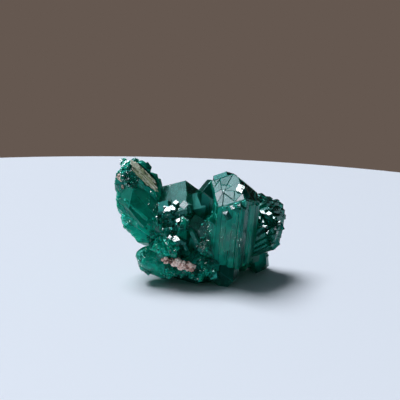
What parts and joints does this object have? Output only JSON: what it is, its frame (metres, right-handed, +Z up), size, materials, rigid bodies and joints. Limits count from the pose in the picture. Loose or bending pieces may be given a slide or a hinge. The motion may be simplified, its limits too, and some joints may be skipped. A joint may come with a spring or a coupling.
{
  "type": "dioptase crystal cluster",
  "caption": "Small cluster of grown-together emerald-green dioptase crystals, a leaning blade and a stout prism, with scraps of pink and olive rock, resting on its broken base.",
  "frame": {"origin": "on the flat break that the cluster rests on, near the middle of its base", "axes": "+Z up from the break, +X from the leaning blade towards the right-hand cluster, +Y away from the viewer"},
  "size_m": [0.0329, 0.019, 0.0239],
  "materials": {
    "dioptase": "glossy",
    "pink_rock": "rough",
    "olive_rock": "rough",
    "pale_rock": "rough"
  },
  "bodies": {
    "root": {"dioptase_crystals": "dioptase", "pink_matrix": "pink_rock", "olive_matrix": "olive_rock", "rim_matrix": "pale_rock"}
  },
  "joints": []
}
